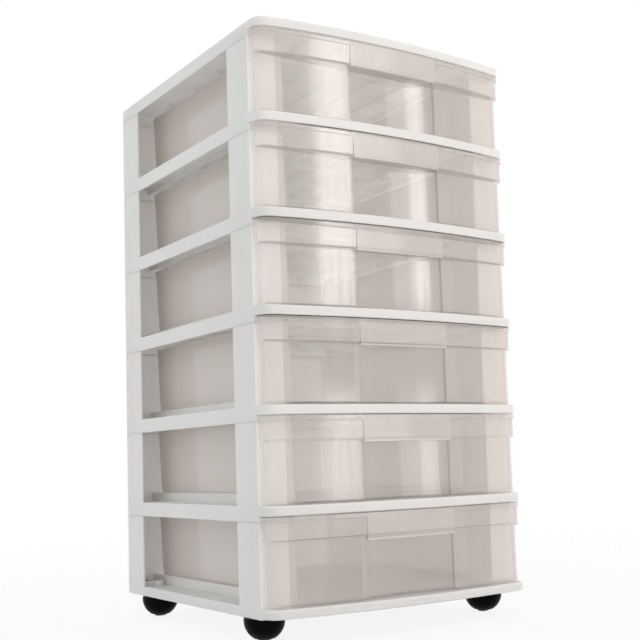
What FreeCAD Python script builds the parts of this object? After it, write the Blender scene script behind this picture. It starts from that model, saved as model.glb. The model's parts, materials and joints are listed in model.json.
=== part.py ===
import FreeCAD, Part
import math
import os

os.makedirs("parts", exist_ok=True)
Vector = FreeCAD.Vector

# The tower as a whole, in mm: X runs across, -Y is the front, and Z is zero on the floor
tower_width = 340.0
body_depth = 331.5
tier_count = 6
window_height = 84.8
overrun = 5.0
edge_tolerance = 0.01

# Bowed front shared by the panels and the drawers
bow_rise = 11.0
lip_corner_radius = 15.7
lip_edge_radius = 1.5
lip_wall = 2.4

# Panels, rails and skirts of the moulded frames
panel_thickness = 2.2
skirt_wall = 2.4
shelf_rail_height = 16.4
shelf_lip_height = 10.2
base_rail_height = 10.8
base_lip_height = 9.6
top_rail_height = 16.0
top_lip_height = 9.6
top_edge_radius = 2.0

# Posts that rise from each frame to carry the next one
post_wall = 2.4
front_post_width = 34.0
front_post_depth = 46.0
front_post_inner_wall = 2.2
rear_post_depth = 45.5
rear_flange_width = 46.0
tongue_thickness = 2.0
tongue_length = 22.0
tongue_height = 8.0
tongue_root = 10.0
tongue_clearance = 0.25

# Stiffening ribs under the panels
rib_thickness = 1.6
shelf_rib_depth = 6.2
base_rib_depth = 5.6
long_rib_count = 7
cross_rib_count = 4

# Guides and slide ribs that the drawers run on
guide_height = 10.6
slide_rib_height = 1.0
slide_rib_width = 4.0
slide_rib_inset = 22.0
slide_rib_end = 8.0

# Clear drawers
drawer_wall = 1.8
drawer_floor = 2.0
drawer_side_clearance = 1.5
drawer_rear_clearance = 2.0
drawer_top_clearance = 1.0
drawer_draft = 2.6
drawer_rear_radius = 14.0
drawer_foot_radius = 5.0
drawer_rim_width = 0.9
drawer_rim_height = 3.0
front_gap = 2.6
ear_inner_run = 0.4
flange_height = 5.0
flange_inset = 0.6
band_height = 21.0
band_inset = 2.0
face_inset = 5.6
pull_width = 117.0
pull_reach = 1.4
pull_drop = 2.2
pull_wall = 1.6
scoop_step = 3.4
scoop_rise = 7.0

# Ball casters
ball_radius = 21.5
base_above_floor = 25.7
hood_gap = 2.0
hood_rim_height = 3.0
caster_side_inset = 22.0
caster_end_inset = 39.0
caster_trail = 6.0
wheel_radius = 10.0
wheel_width = 13.0
wheel_crown = 0.8
wheel_recess = 1.6
wheel_hub_radius = 4.4
wheel_rim_wall = 2.6
wheel_gap = 0.7
axle_radius = 2.0
axle_length = 31.0
axle_seat = 0.02
axle_clearance = 0.08
stem_radius = 4.0
stem_height = 13.0
stem_clearance = 0.05
stem_seat = 0.02
spigot_length = 3.0
collar_radius = 7.0
groove_depth = 0.6
groove_height = 3.0
groove_below_tip = 4.0
stem_chamfer = 1.2
socket_radius = 6.6
socket_height = 16.0
socket_bore_height = 14.0
socket_web = 1.8

# Places that follow from the sizes above
half_width = tower_width / 2
guide_face = half_width - front_post_width
corner_x = half_width - lip_corner_radius
corner_run = front_gap + drawer_wall + ear_inner_run
bow_radius = (corner_x ** 2 + bow_rise ** 2) / (2 * bow_rise)
bow_back = math.sqrt((bow_radius - lip_corner_radius) ** 2 - corner_x ** 2)
lip_reach = corner_run + bow_radius - bow_back
post_front = lip_reach / 2 - body_depth / 2
rear = post_front + body_depth
corner_y = post_front - corner_run
bow_centre_y = corner_y + bow_back
scoop_radius = ((pull_width / 2) ** 2 + scoop_rise ** 2) / (2 * scoop_rise)
scoop_edge_y = bow_centre_y - math.sqrt((bow_radius - face_inset) ** 2 - (pull_width / 2) ** 2) + scoop_step
scoop_centre_y = scoop_edge_y + scoop_rise - scoop_radius
shelf_pitch = shelf_rail_height + window_height
lip_rise = min(shelf_rail_height - shelf_lip_height, top_rail_height - top_lip_height)
drawer_height = window_height + lip_rise - slide_rib_height - drawer_top_clearance
stem_rows = [post_front + caster_end_inset, rear - caster_end_inset]
stem_x = half_width - caster_side_inset


def box(x_low, x_high, y_low, y_high, z_low, z_high):
    corner = Vector(x_low, y_low, z_low)
    return Part.makeBox(x_high - x_low, y_high - y_low, z_high - z_low, corner)


def flipped(shape):
    return shape.mirror(Vector(0, 0, 0), Vector(1, 0, 0))


def both_sides(shapes):
    return shapes + [flipped(shape) for shape in shapes]


def fused(shapes):
    return shapes[0].multiFuse(shapes[1:]).removeSplitter()


# Plan outline of the bowed front, set inwards by an inset and closed by a straight back
def bowed_outline(inset, back_y, z):
    side = half_width - inset
    corner = lip_corner_radius - inset
    lean = math.hypot(corner_x, bow_back)
    lean_x = corner_x / lean
    lean_y = -bow_back / lean
    turn = math.hypot(lean_x + 1, lean_y)
    middle = Vector(corner_x + (lean_x + 1) / turn * corner, corner_y + lean_y / turn * corner, z)
    joint = Vector(corner_x + lean_x * corner, corner_y + lean_y * corner, z)
    side_end = Vector(side, corner_y, z)
    back = Vector(side, back_y, z)
    nose = Vector(0, bow_centre_y - bow_radius + inset, z)
    left_joint, left_middle, left_end, left_back = [
        Vector(-point.x, point.y, z) for point in (joint, middle, side_end, back)]
    return Part.Wire([
        Part.makeLine(back, side_end),
        Part.Arc(side_end, middle, joint).toShape(),
        Part.Arc(joint, nose, left_joint).toShape(),
        Part.Arc(left_joint, left_middle, left_end).toShape(),
        Part.makeLine(left_end, left_back),
        Part.makeLine(left_back, back)])


def bowed_slab(inset, back_y, z_low, z_high):
    return Part.Face(bowed_outline(inset, back_y, z_low)).extrude(Vector(0, 0, z_high - z_low))


# Outer edges of a block at one height, with or without the straight one at a given place along Y
def rim_edges(block, height, straight_y, with_straight):
    found = []
    for edge in block.Edges:
        bounds = edge.BoundBox
        level = max(abs(bounds.ZMin - height), abs(bounds.ZMax - height)) < edge_tolerance
        straight = max(abs(bounds.YMin - straight_y), abs(bounds.YMax - straight_y)) < edge_tolerance
        if level and (with_straight or not straight):
            found.append(edge)
    return found


# Hollow lip along the bowed front of a shelf, rounded above and below
def front_lip(rail_height, lip_height):
    lip_low = rail_height - lip_height
    block = bowed_slab(0, post_front, lip_low, rail_height)
    rims = rim_edges(block, rail_height, post_front, False)
    rims += rim_edges(block, lip_low, post_front, False)
    hollow_top = rail_height - panel_thickness
    hollow = bowed_slab(lip_wall, post_front + overrun, lip_low - overrun, hollow_top)
    return block.makeFillet(lip_edge_radius, rims).cut(hollow)


# Skirts along the sides and the back of a panel
def skirts(skirt_top):
    side = box(half_width - skirt_wall, half_width, post_front, rear, 0, skirt_top)
    back = box(-half_width, half_width, rear - skirt_wall, rear, 0, skirt_top)
    return both_sides([side]) + [back]


# Grid of stiffening ribs under a panel, between the lines of the guides
def panel_ribs(rail_height, depth):
    z_high = rail_height - panel_thickness
    z_low = z_high - depth
    half_rib = rib_thickness / 2
    ribs = []
    for i in range(long_rib_count):
        x = guide_face * (2 * i / (long_rib_count - 1) - 1)
        ribs.append(box(x - half_rib, x + half_rib, post_front, rear, z_low, z_high))
    for i in range(cross_rib_count):
        y = post_front + body_depth * (i + 1) / (cross_rib_count + 1)
        ribs.append(box(-guide_face, guide_face, y - half_rib, y + half_rib, z_low, z_high))
    return ribs


# Right front post, a channel that is open towards the back
def front_post(post_top):
    back = post_front + front_post_depth
    outer = box(half_width - post_wall, half_width, post_front, back, 0, post_top)
    face = box(guide_face, half_width, post_front, post_front + post_wall, 0, post_top)
    inner = box(guide_face, guide_face + front_post_inner_wall, post_front, back, 0, post_top)
    return [outer, face, inner]


# Right rear post, an angle with its flange across the back
def rear_post(post_top):
    outer = box(half_width - post_wall, half_width, rear - rear_post_depth, rear, 0, post_top)
    flange = box(half_width - rear_flange_width, half_width, rear - post_wall, rear, 0, post_top)
    return [outer, flange]


# Tongues at the tops of the right posts, which slip inside the skirt of the frame above
def tongues(post_top):
    wall_x = half_width - post_wall
    inner_x = wall_x - tongue_clearance - tongue_thickness
    shapes = []
    for middle in (post_front + front_post_depth / 2, rear - rear_post_depth / 2):
        y_low = middle - tongue_length / 2
        y_high = middle + tongue_length / 2
        root = box(inner_x, wall_x, y_low, y_high, post_top - tongue_root, post_top)
        tip_top = post_top + tongue_height
        tip = box(inner_x, wall_x - tongue_clearance, y_low, y_high, post_top, tip_top)
        shapes += [root, tip]
    return shapes


# Guide walls beside a drawer and the low ribs under it
def drawer_guides(rail_height):
    panel_low = rail_height - panel_thickness
    guide_back = guide_face + front_post_inner_wall
    guide = box(guide_face, guide_back, post_front, rear, panel_low, rail_height + guide_height)
    slide_x = guide_face - slide_rib_inset
    slide_top = rail_height + slide_rib_height
    slide = box(slide_x - slide_rib_width, slide_x, post_front + slide_rib_end, rear - slide_rib_end,
                panel_low, slide_top)
    return both_sides([guide, slide])


# One tier: a shelf with its lip and skirts, and the four posts that carry the next tier
def tier_frame(rail_height, lip_height, rib_depth):
    post_top = rail_height + window_height
    shelf = box(-half_width, half_width, post_front, rear, rail_height - panel_thickness, rail_height)
    pieces = [shelf, front_lip(rail_height, lip_height)]
    pieces += skirts(rail_height)
    pieces += panel_ribs(rail_height, rib_depth)
    pieces += drawer_guides(rail_height)
    pieces += both_sides(front_post(post_top) + rear_post(post_top) + tongues(post_top))
    return fused(pieces)


# Webbed sockets for the caster stems, inside the foot of each post
def caster_sockets():
    half_web = socket_web / 2
    walls = [post_front + post_wall / 2, rear - post_wall / 2]
    sockets = []
    for y, wall_y in zip(stem_rows, walls):
        boss = Part.makeCylinder(socket_radius, socket_height, Vector(stem_x, y, 0))
        side_web = box(stem_x, half_width - post_wall / 2, y - half_web, y + half_web, 0, socket_height)
        end_web = box(stem_x - half_web, stem_x + half_web, min(y, wall_y), max(y, wall_y),
                      0, socket_height)
        sockets += [boss, side_web, end_web]
    return both_sides(sockets)


def socket_bores():
    bore_radius = stem_radius + stem_clearance
    bore_length = socket_bore_height + overrun
    bores = [Part.makeCylinder(bore_radius, bore_length, Vector(stem_x, y, -overrun)) for y in stem_rows]
    return both_sides(bores)


def base_frame():
    frame = tier_frame(base_rail_height, base_lip_height, base_rib_depth)
    return frame.multiFuse(caster_sockets()).cut(Part.makeCompound(socket_bores())).removeSplitter()


# Lid that closes the top, with the same bowed lip and a rounded edge all round
def top_panel():
    lip_low = top_rail_height - top_lip_height
    lid = bowed_slab(0, rear, lip_low, top_rail_height)
    lid = lid.makeFillet(top_edge_radius, rim_edges(lid, top_rail_height, rear, True))
    hollow_top = top_rail_height - panel_thickness
    lid = lid.cut(bowed_slab(lip_wall, rear - skirt_wall, lip_low - overrun, hollow_top))
    skirt_top = top_rail_height - top_edge_radius
    pieces = [lid]
    pieces += skirts(skirt_top)
    pieces += both_sides(front_post(hollow_top) + rear_post(hollow_top))
    ribs = Part.makeCompound(panel_ribs(top_rail_height, shelf_rib_depth))
    inside = box(-half_width + skirt_wall, half_width - skirt_wall, post_front, rear - skirt_wall,
                 0, top_rail_height)
    pieces += ribs.common(inside).Solids
    return fused(pieces)


# Plan outline of a drawer's body behind its front, with rounded rear corners
def body_outline(half, front_y, back_y, corner, z):
    bend = corner * (1 - math.sqrt(2) / 2)
    points = [
        Vector(half, front_y, z), Vector(half, back_y - corner, z),
        Vector(half - bend, back_y - bend, z), Vector(half - corner, back_y, z)]
    left = [Vector(-point.x, point.y, z) for point in points]
    return Part.Wire([
        Part.makeLine(points[0], points[1]),
        Part.Arc(points[1], points[2], points[3]).toShape(),
        Part.makeLine(points[3], left[3]),
        Part.Arc(left[3], left[2], left[1]).toShape(),
        Part.makeLine(left[1], left[0]),
        Part.makeLine(left[0], points[0])])


# Tapered block between two body outlines, narrower at the bottom by the moulding draft and rounded there
def body_block(inset, front_y, z_low, z_high):
    back_y = rear - post_wall - drawer_rear_clearance - drawer_rim_width - inset
    half = guide_face - drawer_side_clearance - drawer_rim_width - inset
    corner = drawer_rear_radius - inset
    low_draft = drawer_draft * (1 - z_low / drawer_height)
    high_draft = drawer_draft * (1 - z_high / drawer_height)
    low = body_outline(half - low_draft, front_y, back_y - low_draft, corner, z_low)
    high = body_outline(half - high_draft, front_y, back_y - high_draft, corner, z_high)
    block = Part.makeLoft([low, high], True, True)
    return block.makeFillet(drawer_foot_radius - inset, rim_edges(block, z_low, front_y, False))


# Rim that stands out around the top of the drawer's body
def body_rim(front_y):
    half = guide_face - drawer_side_clearance
    back_y = rear - post_wall - drawer_rear_clearance
    z_low = drawer_height - drawer_rim_height
    outline = body_outline(half, front_y, back_y, drawer_rear_radius + drawer_rim_width, z_low)
    return Part.Face(outline).extrude(Vector(0, 0, drawer_rim_height))


# Curved hood on the middle of the band, open below for the fingers
def finger_pull(back_y, z_low, z_high):
    outer_inset = band_inset - pull_reach
    shell = bowed_slab(outer_inset, back_y, z_low, z_high)
    shell = shell.cut(bowed_slab(outer_inset + pull_wall, back_y + overrun, z_low - overrun, z_high + overrun))
    span = box(-pull_width / 2, pull_width / 2, post_front - lip_reach, back_y, z_low, z_high)
    return shell.common(span)


# Hollow for the fingers below the pull, with a curved back; a wall round it makes it larger all round
def finger_scoop(wall, z_high):
    back = Part.makeCylinder(scoop_radius + wall, z_high + overrun, Vector(0, scoop_centre_y, -overrun))
    half = pull_width / 2 + wall
    return back.common(box(-half, half, post_front - lip_reach, post_front, -overrun, z_high))


# Drawer: a tub between the posts, with a full-width bowed front that covers them
def drawer():
    back_y = post_front - front_gap
    inner_y = back_y - drawer_wall
    flange_low = drawer_height - flange_height
    band_low = flange_low - band_height
    over_top = drawer_height + overrun
    outer = [
        bowed_slab(face_inset, back_y, 0, drawer_height),
        bowed_slab(band_inset, back_y, band_low, drawer_height),
        bowed_slab(flange_inset, back_y, flange_low, drawer_height),
        body_block(0, inner_y, 0, drawer_height),
        body_rim(inner_y)]
    inner = [
        bowed_slab(face_inset + drawer_wall, inner_y, drawer_floor, over_top),
        bowed_slab(band_inset + drawer_wall, inner_y, band_low + drawer_wall, over_top),
        body_block(drawer_wall, inner_y - overrun, drawer_floor, over_top)]
    shell = fused(outer).cut(finger_scoop(0, band_low))
    tub = shell.cut(fused(inner).cut(finger_scoop(drawer_wall, band_low + drawer_wall)))
    return fused([tub, finger_pull(back_y, band_low - pull_drop, flange_low)])


# Hood of a ball caster, shaped as a ball with a flat top and a pocket for the wheel
def caster_hood(x, stem_y):
    ball_y = stem_y - caster_trail
    hood_top = base_above_floor - hood_gap
    ball = Part.makeSphere(ball_radius, Vector(x, ball_y, ball_radius))
    slab = box(x - ball_radius, x + ball_radius, ball_y - ball_radius, ball_y + ball_radius,
               hood_rim_height, hood_top)
    half_pocket = wheel_width / 2 + wheel_gap
    pocket = Part.makeCylinder(wheel_radius + wheel_gap, 2 * half_pocket,
                               Vector(x - half_pocket, ball_y, wheel_radius), Vector(1, 0, 0))
    axle_bore = Part.makeCylinder(axle_radius + axle_seat, 2 * ball_radius,
                                  Vector(x - ball_radius, ball_y, wheel_radius), Vector(1, 0, 0))
    stem_bore = Part.makeCylinder(stem_radius + stem_seat, spigot_length + overrun,
                                  Vector(x, stem_y, hood_top - spigot_length))
    return ball.common(slab).cut(pocket).cut(axle_bore).cut(stem_bore)


# Steel stem: a spigot in the hood, a collar under the base and a grooved shank in its socket
def caster_stem(x, stem_y):
    hood_top = base_above_floor - hood_gap
    tip = base_above_floor + stem_height
    groove_top = tip - groove_below_tip
    groove_low = groove_top - groove_height
    neck = stem_radius - groove_depth
    profile = [
        (0, hood_top - spigot_length), (stem_radius, hood_top - spigot_length),
        (stem_radius, hood_top), (collar_radius, hood_top), (collar_radius, base_above_floor),
        (stem_radius, base_above_floor), (stem_radius, groove_low), (neck, groove_low + groove_depth),
        (neck, groove_top - groove_depth), (stem_radius, groove_top), (stem_radius, tip - stem_chamfer),
        (stem_radius - stem_chamfer, tip), (0, tip)]
    points = [Vector(x + radius, stem_y, z) for radius, z in profile]
    face = Part.Face(Part.makePolygon(points + points[:1]))
    return face.revolve(Vector(x, stem_y, 0), Vector(0, 0, 1), 360)


def caster_axle(x, stem_y):
    start = Vector(x - axle_length / 2, stem_y - caster_trail, wheel_radius)
    return Part.makeCylinder(axle_radius, axle_length, start, Vector(1, 0, 0))


# Wheel with a crowned tread and a recess around the hub on each side
def caster_wheel(x, stem_y):
    y = stem_y - caster_trail
    half = wheel_width / 2
    edge_radius = wheel_radius - wheel_crown
    bore_radius = axle_radius + axle_clearance
    recess_radius = edge_radius - wheel_rim_wall

    def at(across, radius):
        return Vector(x + across, y, wheel_radius + radius)

    tread = Part.Arc(at(-half, edge_radius), at(0, wheel_radius), at(half, edge_radius)).toShape()
    right = [at(half, edge_radius), at(half, recess_radius), at(half - wheel_recess, recess_radius),
             at(half - wheel_recess, wheel_hub_radius), at(half, wheel_hub_radius), at(half, bore_radius)]
    left = [Vector(2 * x - point.x, point.y, point.z) for point in reversed(right)]
    outline = Part.Wire([tread] + Part.makePolygon(right + left).Edges)
    return Part.Face(outline).revolve(at(0, 0), Vector(1, 0, 0), 360)


def write_node(name, shape, z=0.0):
    placed = shape.copy()
    placed.translate(Vector(0, 0, z))
    solids = placed.Solids
    print(name, "solids", len(solids), "valid", placed.isValid(), "volume", round(placed.Volume))
    (solids[0] if len(solids) == 1 else placed).exportStep(os.path.join("parts", name + ".step"))


# Stack the tiers from the base up, number them from the top, and put the lid on
shelf = tier_frame(shelf_rail_height, shelf_lip_height, shelf_rib_depth)
clear_drawer = drawer()
write_node("base_frame", base_frame(), base_above_floor)
write_node("drawer_" + str(tier_count), clear_drawer, base_above_floor + base_rail_height + slide_rib_height)
seam = base_above_floor + base_rail_height + window_height
for tier in range(tier_count - 1, 0, -1):
    write_node("shelf_frame_" + str(tier), shelf, seam)
    write_node("drawer_" + str(tier), clear_drawer, seam + shelf_rail_height + slide_rib_height)
    seam += shelf_pitch
write_node("top_panel", top_panel(), seam)

# Four casters, named by the corner that they carry
for end, row in zip(("front", "rear"), stem_rows):
    for side, column in (("left", -stem_x), ("right", stem_x)):
        corner_name = "_" + end + "_" + side
        write_node("caster_stem" + corner_name, caster_stem(column, row))
        write_node("caster_hood" + corner_name, caster_hood(column, row))
        write_node("caster_axle" + corner_name, caster_axle(column, row))
        write_node("caster_wheel" + corner_name, caster_wheel(column, row))
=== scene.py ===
import json
import math

import bmesh
import bpy
from mathutils import Matrix, Vector


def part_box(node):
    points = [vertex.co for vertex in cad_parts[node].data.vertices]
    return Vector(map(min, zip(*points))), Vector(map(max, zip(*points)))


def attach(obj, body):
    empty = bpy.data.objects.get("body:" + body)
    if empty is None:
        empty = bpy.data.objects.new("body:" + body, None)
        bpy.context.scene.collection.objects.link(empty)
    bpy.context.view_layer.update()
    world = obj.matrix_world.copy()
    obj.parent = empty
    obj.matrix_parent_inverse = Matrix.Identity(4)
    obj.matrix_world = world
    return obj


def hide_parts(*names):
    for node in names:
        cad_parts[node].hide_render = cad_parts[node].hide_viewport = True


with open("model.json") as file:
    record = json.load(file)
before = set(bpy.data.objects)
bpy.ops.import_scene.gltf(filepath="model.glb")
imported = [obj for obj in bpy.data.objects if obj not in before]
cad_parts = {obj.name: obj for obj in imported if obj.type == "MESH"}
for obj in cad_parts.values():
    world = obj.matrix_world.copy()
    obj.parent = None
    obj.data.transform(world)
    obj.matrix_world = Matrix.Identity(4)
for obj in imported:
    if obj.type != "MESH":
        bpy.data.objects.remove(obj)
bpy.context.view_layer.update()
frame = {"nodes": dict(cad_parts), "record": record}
parts = frame["nodes"]
bodyOf = {node: body for body, nodes in frame["record"]["behaviour"]["bodies"].items() for node in nodes}
print("frame loaded with", len(parts), "nodes")


# Shader building

class Wire:  # a node's output; maths on wires and numbers adds Math nodes
    def __init__(self, finish, socket):
        self.finish = finish
        self.socket = socket

    def maths(self, operation, first, second):
        return self.finish.node("ShaderNodeMath", {"operation": operation}, {0: first, 1: second})

    def __add__(self, other):
        return self.maths("ADD", self, other)

    def __radd__(self, other):
        return self.maths("ADD", other, self)

    def __sub__(self, other):
        return self.maths("SUBTRACT", self, other)

    def __rsub__(self, other):
        return self.maths("SUBTRACT", other, self)

    def __mul__(self, other):
        return self.maths("MULTIPLY", self, other)

    def __rmul__(self, other):
        return self.maths("MULTIPLY", other, self)

    def __truediv__(self, other):
        return self.maths("DIVIDE", self, other)

    def __rtruediv__(self, other):
        return self.maths("DIVIDE", other, self)

    def __pow__(self, other):
        return self.maths("POWER", self, other)

    def __rpow__(self, other):
        return self.maths("POWER", other, self)


class Finish:  # one material and the nodes that make its look
    def __init__(self, name):
        self.material = bpy.data.materials.new(name)
        self.material.use_nodes = True
        self.tree = self.material.node_tree
        self.surface = self.tree.nodes["Principled BSDF"]
        self.output = self.tree.nodes["Material Output"]

    def node(self, kind, settings, sockets, output=0):
        made = self.tree.nodes.new(kind)
        for setting, value in settings.items():
            setattr(made, setting, value)
        for socket, value in sockets.items():
            self.feed(made.inputs[socket], value)
        return Wire(self, made.outputs[output])

    def feed(self, socket, value):
        if isinstance(value, Wire):
            self.tree.links.new(value.socket, socket)
        else:
            socket.default_value = value

    def coordinates(self, stretch=(1, 1, 1)):
        place = self.node("ShaderNodeTexCoord", {}, {}, "Object")
        return self.node("ShaderNodeMapping", {}, {"Vector": place, "Scale": stretch})

    def along(self, axis):
        place = self.node("ShaderNodeTexCoord", {}, {}, "Object")
        return self.node("ShaderNodeSeparateXYZ", {}, {0: place}, axis)

    def noise(self, scale, detail, stretch=(1, 1, 1)):
        return self.node("ShaderNodeTexNoise", {},
                         {"Vector": self.coordinates(stretch), "Scale": scale, "Detail": detail})

    def spread(self, wire, low, high, newLow, newHigh):
        return self.node("ShaderNodeMapRange", {}, {
            "Value": wire, "From Min": low, "From Max": high, "To Min": newLow, "To Max": newHigh})

    def mix(self, factor, first, second):  # sockets 0, 6 and 7 are the factor and the two colours
        return self.node("ShaderNodeMix", {"data_type": "RGBA"}, {0: factor, 6: first, 7: second}, 2)

    def blend(self, factor, first, second):
        return self.node("ShaderNodeMixShader", {}, {0: factor, 1: first, 2: second})

    def bump(self, height, strength, distance):
        return self.node("ShaderNodeBump", {},
                         {"Height": height, "Strength": strength, "Distance": distance})

    def lightPath(self, kind):
        return self.node("ShaderNodeLightPath", {}, {}, kind)

    def seenDirectly(self):  # one for camera, mirror and clear-through rays
        mirrored = self.lightPath("Is Glossy Ray") + self.lightPath("Is Transmission Ray")
        return self.node("ShaderNodeMath", {"operation": "MINIMUM"},
                         {0: self.lightPath("Is Camera Ray") + mirrored, 1: 1.0})

    def wear(self, **sockets):
        for socket, value in sockets.items():
            self.feed(self.surface.inputs[socket.replace("_", " ")], value)
        return self.material

    def base(self):  # the shader that wear sets
        return Wire(self, self.surface.outputs[0])

    def show(self, shader):
        self.feed(self.output.inputs["Surface"], shader)
        return self.material


# Finishes

toneSpan = (0.35, 0.65)  # noise between these runs from the first colour to the second
roughSpan = (0.3, 0.7)  # and between these from the smoothest to the roughest
noiseMiddle = 0.5

whiteLook = {
    "colour": (0.845, 0.825, 0.80, 1),
    "shade": (0.815, 0.797, 0.772, 1),
    "roughness": (0.35, 0.46),
    "mottle": (9.0, 3.0),  # each noise has a scale, a detail and, where it is stretched, a stretch
    "flow": (5.0, 2.0, (9, 9, 1)),  # streaks left by the flow of the melt
    "mottleShare": 0.6,
    "grain": (1400.0, 1.0),
    "ripple": (38.0, 2.0),
    "grainShare": 0.5,
    "relief": (0.35, 0.00030),  # strength and height of the grain
    "translucent": 0.6,
    "lightReach": 0.006,  # metres that light spreads inside the walls
    "lightTint": (1.0, 0.95, 0.90),
    "bend": 1.49,  # index of refraction
}


def whitePlastic():
    finish = Finish("white_plastic_satin")
    mottle, flow = finish.noise(*whiteLook["mottle"]), finish.noise(*whiteLook["flow"])
    grain, ripple = finish.noise(*whiteLook["grain"]), finish.noise(*whiteLook["ripple"])
    tint = mottle * whiteLook["mottleShare"] + flow * (1 - whiteLook["mottleShare"])
    skin = grain * whiteLook["grainShare"] + ripple * (1 - whiteLook["grainShare"])
    tone = finish.spread(tint, *toneSpan, 0.0, 1.0)
    return finish.wear(
        Base_Color=finish.mix(tone, whiteLook["colour"], whiteLook["shade"]),
        Roughness=finish.spread(mottle, *roughSpan, *whiteLook["roughness"]),
        Normal=finish.bump(skin, *whiteLook["relief"]),
        IOR=whiteLook["bend"],
        Subsurface_Weight=whiteLook["translucent"],
        Subsurface_Radius=whiteLook["lightTint"],
        Subsurface_Scale=whiteLook["lightReach"])


clearLook = {
    "colour": (0.80, 0.732, 0.685, 1),
    "shade": (0.78, 0.712, 0.665, 1),
    "roughness": (0.08, 0.15),
    "hazeRoughness": 0.5,
    "mottle": (7.0, 3.0),
    "streaks": (6.0, 3.0, (22, 22, 1)),  # upright streaks, in the way the melt flowed
    "mottleShare": 0.8,
    "streakClear": 0.03,  # how much more one streak lets through than another
    "relief": (0.10, 0.0006),
    "mirror": 0.05,  # share that one skin mirrors, seen square on
    "faceClear": 0.80,  # light that one skin of the front lets through, seen square on
    "bandClear": 0.755,
    "pullClear": 0.70,
    "pullGain": 1.05,  # painted light: the pull's colour is made lighter, standing in for the extra light that its two walls scatter
    "bodyClear": 0.45,
    "lightClear": 0.93,  # light that one skin lets into the tower: haze scatters it forwards
    "edgeOn": 1.06,  # the nearer to one, the more a skin hides when it is seen edge on
    "frontDepth": 0.029,  # metres from the lid's foremost point to where the front ends
    "fade": 0.004,  # and the metres over which it passes into the body
}


def brighter(colour, gain):
    return [channel * gain for channel in colour[:3]] + [1]


def clearPlastic(name, frontClear, gain=1.0):
    finish = Finish(name)
    colour, shade = brighter(clearLook["colour"], gain), brighter(clearLook["shade"], gain)
    mottle, streaks = finish.noise(*clearLook["mottle"]), finish.noise(*clearLook["streaks"])
    facing = finish.node("ShaderNodeLayerWeight", {}, {}, "Facing")
    mirror = clearLook["mirror"] + (1 - clearLook["mirror"]) * facing ** 5  # more at a slant
    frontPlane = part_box("top_panel")[0].y + clearLook["frontDepth"]
    clearness = finish.spread(finish.along("Y"), frontPlane, frontPlane + clearLook["fade"],
                              frontClear, clearLook["bodyClear"])
    streaked = clearness + (streaks - noiseMiddle) * clearLook["streakClear"]
    seen = streaked ** (1 / (clearLook["edgeOn"] - facing))
    unseen = finish.lightPath("Is Shadow Ray") + finish.lightPath("Is Diffuse Ray")
    passed = seen + (clearLook["lightClear"] - seen) * unseen
    tint = mottle * clearLook["mottleShare"] + streaks * (1 - clearLook["mottleShare"])
    tone = finish.spread(tint, *toneSpan, 0.0, 1.0)
    rough = finish.spread(streaks, *roughSpan, *clearLook["roughness"])
    skin = finish.bump(streaks, *clearLook["relief"])
    finish.wear(
        Base_Color=finish.mix(tone, colour, shade),
        Roughness=clearLook["hazeRoughness"],
        Normal=skin,
        Specular_IOR_Level=0.0)
    gloss = finish.node("ShaderNodeBsdfGlossy", {}, {"Roughness": rough, "Normal": skin})
    clear = finish.node("ShaderNodeBsdfTransparent", {}, {})
    haze = finish.blend(passed, finish.base(), clear)
    return finish.show(finish.blend(mirror * (1 - unseen), haze, gloss))


blackLook = {
    "colour": (0.0016, 0.0015, 0.0015, 1),
    "dust": (0.0045, 0.0042, 0.0040, 1),
    "dustNoise": (60.0, 4.0),
    "dustSpan": (0.45, 0.75),
    "roughness": (0.28, 0.46),
    "relief": (0.1, 0.0003),
    "gloss": 0.04,
}


def blackPlastic():
    finish = Finish("black_plastic_gloss")
    dust = finish.noise(*blackLook["dustNoise"])
    patches = finish.spread(dust, *blackLook["dustSpan"], 0.0, 1.0)
    return finish.wear(
        Base_Color=finish.mix(patches, blackLook["colour"], blackLook["dust"]),
        Roughness=finish.spread(dust, *roughSpan, *blackLook["roughness"]),
        Normal=finish.bump(dust, *blackLook["relief"]),
        Specular_IOR_Level=blackLook["gloss"])


rubberLook = {
    "colour": (0.012, 0.012, 0.012, 1),
    "scuff": (0.040, 0.038, 0.036, 1),
    "dust": (90.0, 4.0),
    "roughness": (0.55, 0.75),
    "relief": (0.3, 0.0004),
    "bend": 1.5,
}


def blackRubber():
    finish = Finish("black_rubber_matte")
    dust = finish.noise(*rubberLook["dust"])
    return finish.wear(
        Base_Color=finish.mix(dust, rubberLook["colour"], rubberLook["scuff"]),
        Roughness=finish.spread(dust, *roughSpan, *rubberLook["roughness"]),
        Normal=finish.bump(dust, *rubberLook["relief"]),
        IOR=rubberLook["bend"])


steelLook = {
    "colour": (0.55, 0.56, 0.57, 1),
    "spangle": (0.70, 0.69, 0.66, 1),
    "spangleNoise": (240.0, 3.0, (1, 1, 0.3)),
    "roughness": (0.24, 0.4),
    "relief": (0.08, 0.0002),
}


def zincSteel():
    finish = Finish("zinc_plated_steel")
    spangle = finish.noise(*steelLook["spangleNoise"])
    return finish.wear(
        Base_Color=finish.mix(spangle, steelLook["colour"], steelLook["spangle"]),
        Metallic=1.0,
        Roughness=finish.spread(spangle, *roughSpan, *steelLook["roughness"]),
        Normal=finish.bump(spangle, *steelLook["relief"]))


white, black, rubber, steel = whitePlastic(), blackPlastic(), blackRubber(), zincSteel()
clearFace = clearPlastic("clear_plastic_gloss", clearLook["faceClear"])
clearBand = clearPlastic("clear_plastic_band", clearLook["bandClear"])
# the pull wears a lighter copy of the clear plastic, with painted light in its colour
clearPull = clearPlastic("clear_plastic_pull", clearLook["pullClear"], clearLook["pullGain"])
print("finishes made")


# Mouldings with rounded edges

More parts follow.
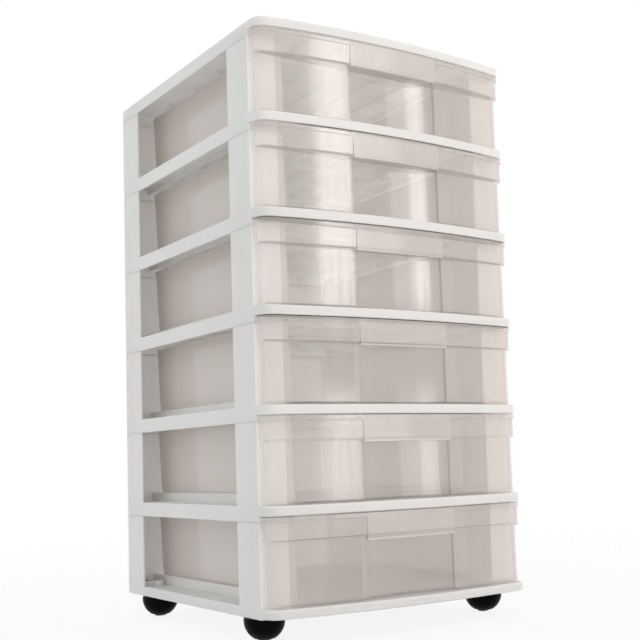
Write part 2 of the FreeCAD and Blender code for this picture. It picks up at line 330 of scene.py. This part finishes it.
edgeLook = {
    "weld": 1e-5,  # points nearer than this, in metres, are one
    "sharp": math.radians(40),  # edges that turn more than this are rounded
    "flat": math.radians(0.6),  # faces that turn less than this are joined
    "shortest": 0.0006,  # shorter edges stay as they are
    "frame": 0.0005,  # radii of the edges, in metres
    "drawer": 0.00045,
    "caster": 0.0004,
    "steps": 2,
    "roundness": 0.5,  # a true arc
}


def roundEdges(solid, edges, radius):
    bmesh.ops.bevel(solid, geom=edges, offset=radius, offset_type="OFFSET", segments=edgeLook["steps"],
                    profile=edgeLook["roundness"], affect="EDGES", clamp_overlap=False)


def sharpEdges(solid):
    return [edge for edge in solid.edges if edge.calc_face_angle(0) > edgeLook["sharp"]
            and edge.calc_length() > edgeLook["shortest"]]


def weldedSolid(name):
    solid = bmesh.new()
    solid.from_mesh(parts[name].data)
    bmesh.ops.remove_doubles(solid, verts=solid.verts, dist=edgeLook["weld"])
    bmesh.ops.dissolve_limit(solid, angle_limit=edgeLook["flat"], verts=solid.verts, edges=solid.edges)
    return solid


frontLook = {  # the bowed lips and drawer fronts, sizes in metres
    "bowRise": 0.011,  # how far the middle of the bow stands before its corners
    "corner": 0.0157,
    "faceInset": 0.0056,  # the lower face stands this far behind the lip
    "bandHeight": 0.0285,  # band, flange and pull, measured down from the rim
    "flangeHeight": 0.005,
    "hollowWidth": 0.121,
    "hollowStep": 0.0034,  # depth of the hollow at its sides
    "hollowRise": 0.007,  # and how much deeper its middle is
    "depth": 0.030,  # how far behind its foremost point a front reaches
    "upright": 0.02,  # a wall's normal rises less than this
    "along": math.cos(math.radians(2.5)),  # a face along a curve turns from it less than this angle
}


def curveAxes():  # where the upright axes of the bow and of the finger hollow stand
    low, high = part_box("top_panel")
    chord = high.x - frontLook["corner"]
    bowRadius = (chord ** 2 + frontLook["bowRise"] ** 2) / (2 * frontLook["bowRise"])
    bowY = low.y + bowRadius
    half = frontLook["hollowWidth"] / 2
    edgeY = bowY - math.sqrt((bowRadius - frontLook["faceInset"]) ** 2 - half ** 2) + frontLook["hollowStep"]
    hollowRadius = (half ** 2 + frontLook["hollowRise"] ** 2) / (2 * frontLook["hollowRise"])
    return bowY, edgeY + frontLook["hollowRise"] - hollowRadius


bowY, hollowY = curveAxes()


def outwards(place, axisY, facing):
    away = Vector((place.x, place.y - axisY, 0)).normalized()
    return away if away.dot(facing) > 0 else -away


def inMiddle(place):  # across the finger pull and the hollow below it
    return abs(place.x) < frontLook["hollowWidth"] / 2


def liesAlong(face, axisY, frontY):  # an upright face of the front that follows the curve
    inFront = face.center.y < frontY + frontLook["depth"] and abs(face.normal.z) < frontLook["upright"]
    return inFront and outwards(face.center, axisY, face.normal).dot(face.normal) > frontLook["along"]


def smoothShading(mesh, frontY, topZ):  # flat faces shade flat, bowed ones as the true curve
    averaged = [Vector() for vertex in mesh.vertices]
    for face in mesh.polygons:
        for index in face.vertices:
            averaged[index] += face.normal * face.area
    normals = []
    for face in mesh.polygons:
        inHollow = inMiddle(face.center) and face.center.z < topZ - frontLook["bandHeight"]
        axisY = hollowY if inHollow else bowY
        bowed = liesAlong(face, axisY, frontY)
        for index in face.vertices:
            corner = mesh.vertices[index].co
            normals.append(outwards(corner, axisY, face.normal) if bowed else averaged[index].normalized())
    mesh.normals_split_custom_set(normals)


def standIn(name, piece, material):  # the piece stands where its CAD part is
    piece.data.materials.append(material)
    bpy.context.collection.objects.link(piece)
    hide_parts(name)
    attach(piece, bodyOf[name])


def mould(name, suffix, radius, material):
    solid = weldedSolid(name)
    roundEdges(solid, sharpEdges(solid), radius)
    for face in solid.faces:
        face.smooth = True
    mesh = bpy.data.meshes.new(name + suffix)
    solid.to_mesh(mesh)
    solid.free()
    piece = bpy.data.objects.new(name + suffix, mesh)
    smoothShading(mesh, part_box(name)[0].y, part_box(name)[1].z)
    standIn(name, piece, material)
    return piece


def hazeBand(name, tub):  # the band and flange across the top of the front, and the pull
    low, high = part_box(name)
    bandSlot, pullSlot = 1, 2
    tub.data.materials.append(clearBand)
    tub.data.materials.append(clearPull)
    for face in tub.data.polygons:
        below = high.z - face.center.z
        if below < frontLook["bandHeight"] and face.center.y < low.y + frontLook["depth"]:
            inPull = inMiddle(face.center) and below > frontLook["flangeHeight"]
            face.material_index = pullSlot if inPull else bandSlot


for name in sorted(parts):
    if name.startswith("drawer"):
        hazeBand(name, mould(name, "_tub", edgeLook["drawer"], clearFace))
    elif name.startswith("caster_hood"):
        mould(name, "_shell", edgeLook["caster"], black)
    elif name.startswith("caster_wheel"):
        mould(name, "_tyre", edgeLook["caster"], rubber)
    elif name.startswith(("caster_stem", "caster_axle")):
        parts[name].data.materials.clear()
        parts[name].data.materials.append(steel)
    else:
        mould(name, "_moulding", edgeLook["frame"], white)
print("mouldings rounded")


# Stage, lights and camera

stageLook = {
    "floorRadius": 14.0,
    "floorSides": 96,
    "floorColour": (0.90, 0.90, 0.90, 1),
    "floorTint": (0.92, 0.92, 0.92, 1),
    "floorNoise": (3.0, 2.0),
    "floorRoughness": 0.9,
    "whiteShare": 0.88,  # how much of the floor is plain white near the tower
    "shadowReach": (0.35, 1.6),  # metres from the tower between which that share grows to all
    "worldColour": (0.94, 0.955, 0.97, 1),
    "worldStrength": 0.84,
    "white": (1, 1, 1, 1),  # the ground and backdrop, as they are seen
    "whiteStrength": 1.0,
    "clearSkins": 24,  # so many skins of clear plastic are seen through
}


def floorMaterial():
    finish = Finish("floor_white")
    speckle = finish.noise(*stageLook["floorNoise"])
    tone = finish.mix(speckle, stageLook["floorColour"], stageLook["floorTint"])
    finish.wear(Base_Color=tone, Roughness=stageLook["floorRoughness"])
    away = finish.node("ShaderNodeVectorMath", {"operation": "LENGTH"}, {0: finish.coordinates()}, "Value")
    near, far = stageLook["shadowReach"]
    share = finish.spread(away, near, far, stageLook["whiteShare"], 1.0)
    glow = finish.node("ShaderNodeEmission", {},
                       {"Color": stageLook["white"], "Strength": stageLook["whiteStrength"]})
    return finish.show(finish.blend(finish.seenDirectly() * share, finish.base(), glow))


def makeFloor():
    radius, sides = stageLook["floorRadius"], stageLook["floorSides"]
    turns = [2 * math.pi * index / sides for index in range(sides)]
    ring = [(radius * math.cos(turn), radius * math.sin(turn), 0) for turn in turns]
    mesh = bpy.data.meshes.new("floor")
    mesh.from_pydata(ring, [], [tuple(range(sides))])
    mesh.materials.append(floorMaterial())
    floor = bpy.data.objects.new("floor", mesh)
    bpy.context.collection.objects.link(floor)


class Room(Finish):  # the world's nodes, built in the same way
    def __init__(self, name):
        self.material = bpy.data.worlds.new(name)
        bpy.context.scene.world = self.material
        self.material.use_nodes = True
        self.tree = self.material.node_tree
        self.surface = self.tree.nodes["Background"]
        self.output = self.tree.nodes["World Output"]


def makeRoom():
    room = Room("studio")
    room.wear(Color=stageLook["worldColour"], Strength=stageLook["worldStrength"])
    backdrop = room.node("ShaderNodeBackground", {},
                         {"Color": stageLook["white"], "Strength": stageLook["whiteStrength"]})
    room.show(room.blend(room.seenDirectly(), room.base(), backdrop))


warm, amber = (1.0, 0.96, 0.92), (1.0, 0.56, 0.20)
lampColour = {"strip": warm, "side": warm, "front": amber}
lampLook = {  # place and aim in metres, width and height of the panel, radiance
    "strip_high": ((0.775, -1.973, 1.03), (-0.08, -0.17, 1.03), (0.27, 0.84), 6.0),
    "strip_low": ((0.775, -1.973, 0.20), (-0.08, -0.17, 0.20), (0.27, 0.34), 4.0),
    "side_high": ((1.060, -1.838, 1.03), (0.205, -0.035, 1.03), (0.36, 0.84), 1.8),
    "side_low": ((1.060, -1.838, 0.20), (0.205, -0.035, 0.20), (0.36, 0.34), 1.6),
    "front_fill": ((1.70, -2.70, 0.90), (0.0, -0.17, 0.33), (1.40, 1.40), 0.95),
}


def makeLamp(name, place, aim, size, radiance):
    kind = name.split("_")[0]
    lamp = bpy.data.lights.new(name, "AREA")
    lamp.shape = "RECTANGLE"
    lamp.size, lamp.size_y = size
    lamp.energy = radiance * size[0] * size[1] * math.pi
    lamp.color = lampColour[kind]
    holder = bpy.data.objects.new(name, lamp)
    bpy.context.collection.objects.link(holder)
    holder.location = place
    holder.rotation_euler = (Vector(aim) - Vector(place)).to_track_quat("-Z", "Y").to_euler()
    holder.visible_camera = False
    holder.visible_glossy = kind != "front"  # the fill lights the fronts and isn't mirrored in them


cameraLook = {
    "place": (-0.7066, -1.0927, 0.1807),
    "heading": 0.57869,  # radians, to the right of straight ahead
    "tilt": 0.10729,
    "roll": -0.03248,
    "lens": 60.34,  # millimetres, as the sensor is
    "sensor": 36.0,
    "shiftUp": 0.04,
}


def makeCamera():
    lens = bpy.data.cameras.new("camera")
    lens.lens = cameraLook["lens"]
    lens.sensor_width = cameraLook["sensor"]
    lens.shift_y = cameraLook["shiftUp"]
    camera = bpy.data.objects.new("camera", lens)
    bpy.context.collection.objects.link(camera)
    turn = Matrix.Rotation(-cameraLook["heading"], 4, "Z")
    lift = Matrix.Rotation(math.pi / 2 + cameraLook["tilt"], 4, "X")
    lean = Matrix.Rotation(cameraLook["roll"], 4, "Z")
    camera.matrix_world = Matrix.Translation(cameraLook["place"]) @ turn @ lift @ lean
    bpy.context.scene.camera = camera


makeFloor()
makeRoom()
for name, values in lampLook.items():
    makeLamp(name, *values)
makeCamera()
scene = bpy.context.scene
scene.view_settings.view_transform = "Standard"
scene.cycles.transparent_max_bounces = stageLook["clearSkins"]
print("stage, lights and camera set")
